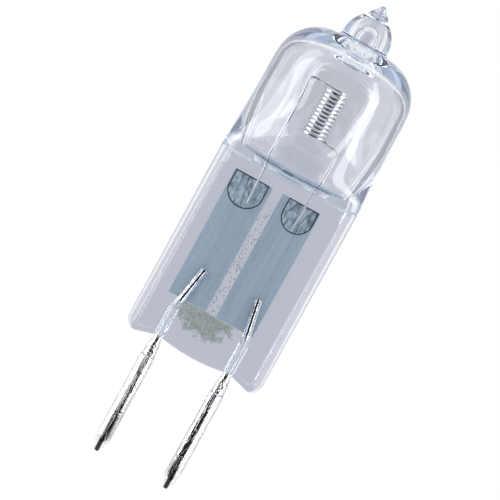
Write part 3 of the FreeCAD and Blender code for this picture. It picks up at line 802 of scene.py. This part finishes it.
def pin_material():
    """Bright plated pin: drawing marks, stray scratches, dents at the crimped neck, and a dark reflection
    painted down the middle of the nose.
    """
    material, tree, shader, place = new_material("plated_pin")
    shader.inputs["Metallic"].default_value = 1.0
    drawn = streaks(tree, place, PIN_MARKS)
    patches = mottle(tree, place, PIN_FINENESS)["Patches"]
    scratched = scratches(tree, place, SCRATCH_FINENESS, SCRATCH_WIDTH)
    spot = put(tree, "SeparateXYZ", {0: place}).outputs
    neck = product(tree, rising(tree, spot["Z"], NECK_FOOT), falling(tree, spot["Z"], NECK_HEAD))
    cells = put(tree, "TexVoronoi", {"Vector": place, "Scale": DENT_FINENESS}).outputs["Distance"]
    dent = product(tree, neck, ramp(tree, cells, *DENT_BAND, 1.0, 0.0))
    lines_shade = calc(tree, "MULTIPLY", scratched, SCRATCH_SHADE)
    dents_shade = calc(tree, "MULTIPLY", dent, DENT_SHADE)
    # Painted reflection: a dark stripe down the middle of each nose stands in for the dark front seen in the
    # plating.
    beside = calc(tree, "ABSOLUTE", calc(tree, "SUBTRACT", calc(tree, "ABSOLUTE", spot["X"]), PIN_X * MM))
    nose_reflection = product(tree, falling(tree, beside, NOSE_REFLECTION_SIDES), falling(tree, spot["Z"], NOSE_REFLECTION_TOP))
    color = blend_colors(tree, drawn, PIN_GREY, PIN_BRIGHT)
    color = blend_colors(tree, calc(tree, "MAXIMUM", lines_shade, dents_shade), color, MARK_GREY)
    color = blend_colors(tree, nose_reflection, color, NOSE_PAINTED_REFLECTION)
    feed(tree, shader.inputs["Base Color"], color)
    rough = calc(tree, "MULTIPLY_ADD", patches, PIN_ROUGHNESS, PIN_ROUGHNESS)
    feed(tree, shader.inputs["Roughness"], calc(tree, "MULTIPLY_ADD", drawn, PIN_ROUGHNESS, rough))
    relief = calc(tree, "MULTIPLY_ADD", drawn, MARK_HEIGHT, patches)
    relief = calc(tree, "SUBTRACT", relief, calc(tree, "MULTIPLY", scratched, SCRATCH_DEPTH))
    relief = calc(tree, "SUBTRACT", relief, calc(tree, "MULTIPLY", dent, DENT_DEPTH))
    raise_surface(tree, shader, relief, PIN_RELIEF)
    return material


# The leads, loose in their channels and sealed in above
LEAD_GREY = (0.8, 0.83, 0.87, 1)
LEAD_BRIGHT = (0.93, 0.95, 0.97, 1)
LEAD_SPOT = (0.12, 0.13, 0.15, 1)
LEAD_SPOT_SHADE = 0.35
LEAD_MARKS = (9000.0, 700.0)
LEAD_FINENESS = 2600.0
LEAD_ENTRY = (1.6, 2.1)
LEAD_SEAL = (4.7, 5.6)
LEAD_ROUGHNESS = 0.06
LEAD_GRAIN_ROUGHNESS = 0.08
LOOSE_ROUGHNESS = 0.4
LOOSE_DULLNESS = 0.75
LEAD_RELIEF = 0.0025


def lead_material():
    """Bright lead wire, matt in its loose channel and spotted where it is sealed in."""
    material, tree, shader, place = new_material("lead_wire")
    drawn = streaks(tree, place, LEAD_MARKS)
    mottled = mottle(tree, place, LEAD_FINENESS)
    height = put(tree, "SeparateXYZ", {0: place}).outputs["Z"]
    sealed = rising(tree, height, LEAD_SEAL)
    loose = product(tree, rising(tree, height, LEAD_ENTRY), falling(tree, height, LEAD_SEAL))
    color = blend_colors(tree, drawn, LEAD_GREY, LEAD_BRIGHT)
    spots = product(tree, sealed, mottled["Patches"], LEAD_SPOT_SHADE)
    feed(tree, shader.inputs["Base Color"], blend_colors(tree, spots, color, LEAD_SPOT))
    rough = calc(tree, "MULTIPLY_ADD", mottled["Grain"], LEAD_GRAIN_ROUGHNESS, LEAD_ROUGHNESS)
    feed(tree, shader.inputs["Roughness"], calc(tree, "MULTIPLY_ADD", loose, LOOSE_ROUGHNESS, rough))
    feed(tree, shader.inputs["Metallic"], calc(tree, "MULTIPLY_ADD", loose, -LOOSE_DULLNESS, 1.0))
    raise_surface(tree, shader, calc(tree, "ADD", drawn, mottled["Patches"]), LEAD_RELIEF)
    return material


# The filament's tungsten, bright in the cavity and matt below its floor
TUNGSTEN_GREY = (0.72, 0.72, 0.73, 1)
TUNGSTEN_BRIGHT = (0.92, 0.92, 0.92, 1)
TUNGSTEN_FINENESS = 5000.0
TUNGSTEN_ROUGHNESS = 0.03
SEALED_ROUGHNESS = 0.35
SEALED_FADE = 0.2
TUNGSTEN_RELIEF = 0.001


def tungsten_material():
    """Bright tungsten wire with a fine uneven grain, matt where it is sealed in."""
    material, tree, shader, place = new_material("tungsten_wire")
    shader.inputs["Metallic"].default_value = 1.0
    mottled = mottle(tree, place, TUNGSTEN_FINENESS)
    color = blend_colors(tree, mottled["Grain"], TUNGSTEN_GREY, TUNGSTEN_BRIGHT)
    feed(tree, shader.inputs["Base Color"], color)
    height = put(tree, "SeparateXYZ", {0: place}).outputs["Z"]
    low = CAVITY_FLOOR * MM
    high = (CAVITY_FLOOR + SEALED_FADE) * MM
    rough = ramp(tree, height, low, high, SEALED_ROUGHNESS, TUNGSTEN_ROUGHNESS)
    rough = calc(tree, "MULTIPLY_ADD", mottled["Patches"], TUNGSTEN_ROUGHNESS, rough)
    feed(tree, shader.inputs["Roughness"], rough)
    raise_surface(tree, shader, mottled["Grain"], TUNGSTEN_RELIEF)
    return material


# The sealing foils
FOIL_DARK = (0.4, 0.5, 0.6, 1)
FOIL_PALE = (0.5, 0.61, 0.71, 1)
FOIL_GRAIN = (0.6, 0.7, 0.8, 1)
FOIL_GRAIN_SHARE = 0.5
FOIL_METALLIC = 0.05
FOIL_MARKS = (2400.0, 110.0)
FOIL_FINENESS = 950.0
FOIL_ROUGHNESS = 0.35
FOIL_PATCH_ROUGHNESS = 0.15
FOIL_RELIEF = 0.006


def foil_material():
    """Etched sealing foil: steel blue, in long soft streaks with a pale grain."""
    material, tree, shader, place = new_material("sealing_foil")
    shader.inputs["Metallic"].default_value = FOIL_METALLIC
    drawn = streaks(tree, place, FOIL_MARKS)
    mottled = mottle(tree, place, FOIL_FINENESS)
    color = blend_colors(tree, drawn, FOIL_DARK, FOIL_PALE)
    grain = calc(tree, "MULTIPLY", mottled["Grain"], FOIL_GRAIN_SHARE)
    feed(tree, shader.inputs["Base Color"], blend_colors(tree, grain, color, FOIL_GRAIN))
    rough = calc(tree, "MULTIPLY_ADD", mottled["Patches"], FOIL_PATCH_ROUGHNESS, FOIL_ROUGHNESS)
    feed(tree, shader.inputs["Roughness"], rough)
    raise_surface(tree, shader, calc(tree, "ADD", drawn, mottled["Grain"]), FOIL_RELIEF)
    return material


# The weld tabs' finish, with painted shade in dark crease lines
TAB_DARK = (0.31, 0.4, 0.51, 1)
TAB_PALE = (0.7, 0.84, 0.96, 1)
TAB_STREAK = (0.84, 0.94, 1, 1)
TAB_STREAK_SHARE = 0.5
# Painted shade for the tabs' crease lines
TAB_CREASE_PAINTED_SHADE = (0.07, 0.1, 0.14, 1)
TAB_CREASE_SHADE_SHARE = 0.6
TAB_BLACK = (0.008, 0.01, 0.013, 1)
TAB_LINE = 0.12
TAB_METALLIC = 0.3
TAB_MARKS = (3600.0, 1100.0)
TAB_FINENESS = 2300.0
CREASE_SHADE_FINENESS = 1500.0
CREASE_SHADE_WIDTH = 0.035
TAB_ROUGHNESS = 0.3
TAB_GRAIN_ROUGHNESS = 0.2
TAB_RELIEF = 0.012


def tab_material(name, middle, half_width, foot):
    """A weld tab: blue-grey, crumpled and streaked, with painted shade in dark crease lines, and a black
    line where the glass meets its edge.
    """
    material, tree, shader, place = new_material(name)
    shader.inputs["Metallic"].default_value = TAB_METALLIC
    radius = (half_width**2 + TAB_ROUND**2) / (2 * TAB_ROUND)
    edge = use_group(tree, TAB_EDGE, {
        "Place": place,
        "Middle": middle * MM,
        "Half Width": half_width * MM,
        "Top": TAB_TOP * MM,
        "Round Middle": (foot + radius) * MM,
        "Round Radius": radius * MM,
        "Line": TAB_LINE * MM,
    })["Edge"]
    drawn = streaks(tree, place, TAB_MARKS)
    mottled = mottle(tree, place, TAB_FINENESS)
    crease_shade = scratches(tree, place, CREASE_SHADE_FINENESS, CREASE_SHADE_WIDTH)
    color = blend_colors(tree, mottled["Patches"], TAB_DARK, TAB_PALE)
    color = blend_colors(tree, calc(tree, "MULTIPLY", drawn, TAB_STREAK_SHARE), color, TAB_STREAK)
    # Painted shade: dark wavy lines stand in for the shade in the tab's creases, which have no relief.
    color = blend_colors(tree, calc(tree, "MULTIPLY", crease_shade, TAB_CREASE_SHADE_SHARE), color, TAB_CREASE_PAINTED_SHADE)
    feed(tree, shader.inputs["Base Color"], blend_colors(tree, edge, color, TAB_BLACK))
    rough = calc(tree, "MULTIPLY_ADD", mottled["Grain"], TAB_GRAIN_ROUGHNESS, TAB_ROUGHNESS)
    feed(tree, shader.inputs["Roughness"], rough)
    raise_surface(tree, shader, calc(tree, "ADD", drawn, mottled["Patches"]), TAB_RELIEF)
    return material


def dress(node, material):
    """Give a CAD node its finish."""
    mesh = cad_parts[node].data
    mesh.materials.clear()
    mesh.materials.append(material)


quartz = make_quartz()
quartz.data.materials.clear()
quartz.data.materials.append(quartz_material())
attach(quartz, "root")
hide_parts("quartz_envelope")

pin_metal = pin_material()
lead_metal = lead_material()
foil_metal = foil_material()
for side in ("left", "right"):
    dress(f"{side}_pin", pin_metal)
    dress(f"{side}_lead", lead_metal)
    dress(f"{side}_foil", foil_metal)
    dress(f"{side}_weld_tab", tab_material(f"{side}_tab", *TABS[side]))

filament = make_filament()
filament.data.materials.append(tungsten_material())
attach(filament, "root")
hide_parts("filament")

# The camera. The frame's width is what it takes in at the object, and its angles are in degrees.
CAMERA_DISTANCE = 180.0
FRAME_WIDTH = 40.0
SENSOR_WIDTH = 36
CLIP_NEAR = 10
CLIP_FAR = 10000
CAMERA_ROLL = 28.8
CAMERA_RISE = 6.0
CAMERA_TARGET = (-0.06, 0, 11.5)


def make_camera():
    """On the pinch's front, a little above, rolled so that the bulb leans to the right."""
    lens = bpy.data.cameras.new("camera")
    lens.sensor_width = SENSOR_WIDTH
    lens.lens = SENSOR_WIDTH * CAMERA_DISTANCE / FRAME_WIDTH
    lens.clip_start = CLIP_NEAR * MM
    lens.clip_end = CLIP_FAR * MM
    camera = bpy.data.objects.new("camera", lens)
    bpy.context.scene.collection.objects.link(camera)
    roll = math.radians(CAMERA_ROLL)
    rise = math.radians(CAMERA_RISE)
    back = Vector((0, -math.cos(rise), math.sin(rise)))
    right = Vector((1, 0, 0))
    up = back.cross(right)
    right_rolled = right * math.cos(roll) + up * math.sin(roll)
    up_rolled = up * math.cos(roll) - right * math.sin(roll)
    turn = Matrix((right_rolled, up_rolled, back)).transposed().to_4x4()
    target = Vector(CAMERA_TARGET) * MM
    camera.matrix_world = Matrix.Translation(target + back * CAMERA_DISTANCE * MM) @ turn
    bpy.context.scene.camera = camera


# The white surround and floor
WHITE = (1, 1, 1)
WORLD_LIGHT = 0.7
WORLD_SHOWN = 1.0
FLOOR_SIZE = 3000
FLOOR_DROP = 0.02
FLOOR_COLOR = (0.9, 0.9, 0.9, 1)
FLOOR_GLOW = 1.1
FLOOR_GLOW_SHARE = 0.8


def make_world():
    """White to the camera, to reflections and through glass, and a plain level of light elsewhere."""
    world = bpy.data.worlds.new("white_surround")
    bpy.context.scene.world = world
    world.use_nodes = True
    tree = world.node_tree
    light = tree.nodes["Background"]
    light.inputs["Color"].default_value = (*WHITE, 1)
    light.inputs["Strength"].default_value = WORLD_LIGHT
    seen = put(tree, "Background", {"Color": (*WHITE, 1), "Strength": WORLD_SHOWN})
    path = put(tree, "LightPath").outputs
    shown = calc(tree, "MAXIMUM", path["Is Camera Ray"], path["Is Glossy Ray"])
    shown = calc(tree, "MAXIMUM", shown, path["Is Transmission Ray"])
    mix = put(tree, "MixShader", {0: shown, 1: light.outputs[0], 2: seen.outputs[0]})
    feed(tree, tree.nodes["World Output"].inputs["Surface"], mix.outputs[0])


def bare_material(name):
    """A material for the studio, with nothing in it but its output."""
    material = bpy.data.materials.new(name)
    material.use_nodes = True
    tree = material.node_tree
    tree.nodes.remove(tree.nodes["Principled BSDF"])
    return material, tree, tree.nodes["Material Output"].inputs["Surface"]


def make_floor():
    """A pale floor that shows as the white background and keeps a soft shadow."""
    deselect()
    level = cad_box[0].z - FLOOR_DROP * MM
    bpy.ops.mesh.primitive_plane_add(size=FLOOR_SIZE * MM, location=(0, 0, level))
    floor = bpy.context.object
    floor.name = "floor"
    material, tree, surface = bare_material("white_floor")
    matt = put(tree, "BsdfDiffuse", {"Color": FLOOR_COLOR})
    glow = put(tree, "Emission", {"Strength": FLOOR_GLOW})
    path = put(tree, "LightPath").outputs
    share = calc(tree, "MULTIPLY_ADD", path["Is Diffuse Ray"], -FLOOR_GLOW_SHARE, FLOOR_GLOW_SHARE)
    mix = put(tree, "MixShader", {0: share, 1: matt.outputs[0], 2: glow.outputs[0]})
    feed(tree, surface, mix.outputs[0])
    floor.data.materials.append(material)


# The softbox, with its power in watts
LAMP_PLACE = (-70, -130, 200)
LAMP_AIM = (0, 0, 12)
LAMP_SIZE = 160
LAMP_POWER = 0.12


def make_softbox():
    """One large soft lamp above the front, for a soft shadow. Reflections come from the cards."""
    deselect()
    bpy.ops.object.light_add(type="AREA", location=Vector(LAMP_PLACE) * MM)
    lamp = bpy.context.object
    lamp.name = "softbox"
    lamp.data.shape = "SQUARE"
    lamp.data.size = LAMP_SIZE * MM
    lamp.data.energy = LAMP_POWER
    aim = Vector(LAMP_AIM) * MM - lamp.location
    lamp.rotation_euler = aim.to_track_quat("-Z", "Y").to_euler()
    lamp.visible_camera = False
    lamp.visible_glossy = False
    lamp.visible_transmission = False


# The cards' light, and how they stand: near and far from the axis, with the height of the far end.
GREY = (0.594, 0.611, 0.668)
PALE = (0.7, 0.705, 0.75)
SHADE = (0.58, 0.64, 0.76)
DIM = (0.4, 0.42, 0.46)
BLACK = (0.015, 0.015, 0.016)
LEFT_GLARE = (5, 5, 5)
RIGHT_GLARE = (7, 7, 7)
LOW_CARD = {"near": 3, "far": 125, "height": 9.6}
HIGH_CARD = {"near": 125, "far": 400, "height": 300, "low": 18.4}
SHADE_CARD = {"near": 8, "far": 160, "height": 160}
LOW_FRONT_CARD = {"near": 2, "far": 16, "height": 7.8}
FRONT_CARD = {"near": 16, "far": 240, "height": 240, "low": 16.6}
STREAK_CARD = {"near": 9, "far": 200, "height": 220}
# How far beside the axis the cards start, so that both pins see them
FOOT_SPREAD = 3.6
FOOT_DROP = 0.01
# What a card gives to plain surfaces inside the glass
INNER_LIGHT = (1.3, 1.3, 1.3, 1)


def card(name, start, end, mirrored, through, near, far, height, low=0.0):
    """A studio card that leans back round the object, between two bearings in degrees from straight ahead.
    Its foot is near the axis and low above the floor, its head at far and height. Mirrored is its light
    in reflections, through is its light seen through glass. The camera and bare surfaces don't see it."""
    deselect()
    bpy.ops.mesh.primitive_plane_add(size=1)
    board = bpy.context.object
    board.name = name
    foot = cad_box[0].z / MM - FOOT_DROP
    corners = []
    for reach, level in ((near, foot + low), (far, height)):
        for bearing in (start, end):
            angle = math.radians(bearing)
            side = math.copysign(FOOT_SPREAD, math.sin(angle))
            corners.append((side + reach * math.sin(angle), -reach * math.cos(angle), level))
    for vertex, corner in zip(board.data.vertices, corners):
        vertex.co = Vector(corner) * MM
    material, tree, surface = bare_material(name)
    path = put(tree, "LightPath").outputs
    reflected = calc(tree, "GREATER_THAN", path["Glossy Depth"], 0.5)
    color = blend_colors(tree, reflected, (*through, 1), (*mirrored, 1))
    scattered = calc(tree, "GREATER_THAN", path["Diffuse Depth"], 0.5)
    color = blend_colors(tree, scattered, color, INNER_LIGHT)
    feed(tree, surface, put(tree, "Emission", {"Color": color}).outputs[0])
    board.data.materials.append(material)
    board.visible_camera = False
    board.visible_diffuse = False
    board.visible_shadow = False


make_camera()
make_world()
make_floor()
make_softbox()
card("low_back_card", 176, 184, GREY, GREY, **LOW_CARD)
card("low_left_card", -176, -157, PALE, PALE, **LOW_CARD)
card("low_right_card", 157, 176, PALE, PALE, **LOW_CARD)
card("high_back_card", 158, 202, GREY, GREY, **HIGH_CARD)
card("left_shade", -150, -122, DIM, SHADE, **SHADE_CARD)
card("left_side_shade", -122, -92, WHITE, SHADE, **SHADE_CARD)
card("right_side_shade", 92, 122, WHITE, SHADE, **SHADE_CARD)
card("right_shade", 122, 150, DIM, SHADE, **SHADE_CARD)
card("low_front_card", -28, 28, BLACK, GREY, **LOW_FRONT_CARD)
card("front_card", -46, 46, BLACK, GREY, **FRONT_CARD)
card("left_streak_card", -82, -58, LEFT_GLARE, WHITE, **STREAK_CARD)
card("right_streak_card", 49, 61, RIGHT_GLARE, WHITE, **STREAK_CARD)

bpy.context.scene.view_settings.view_transform = "Standard"
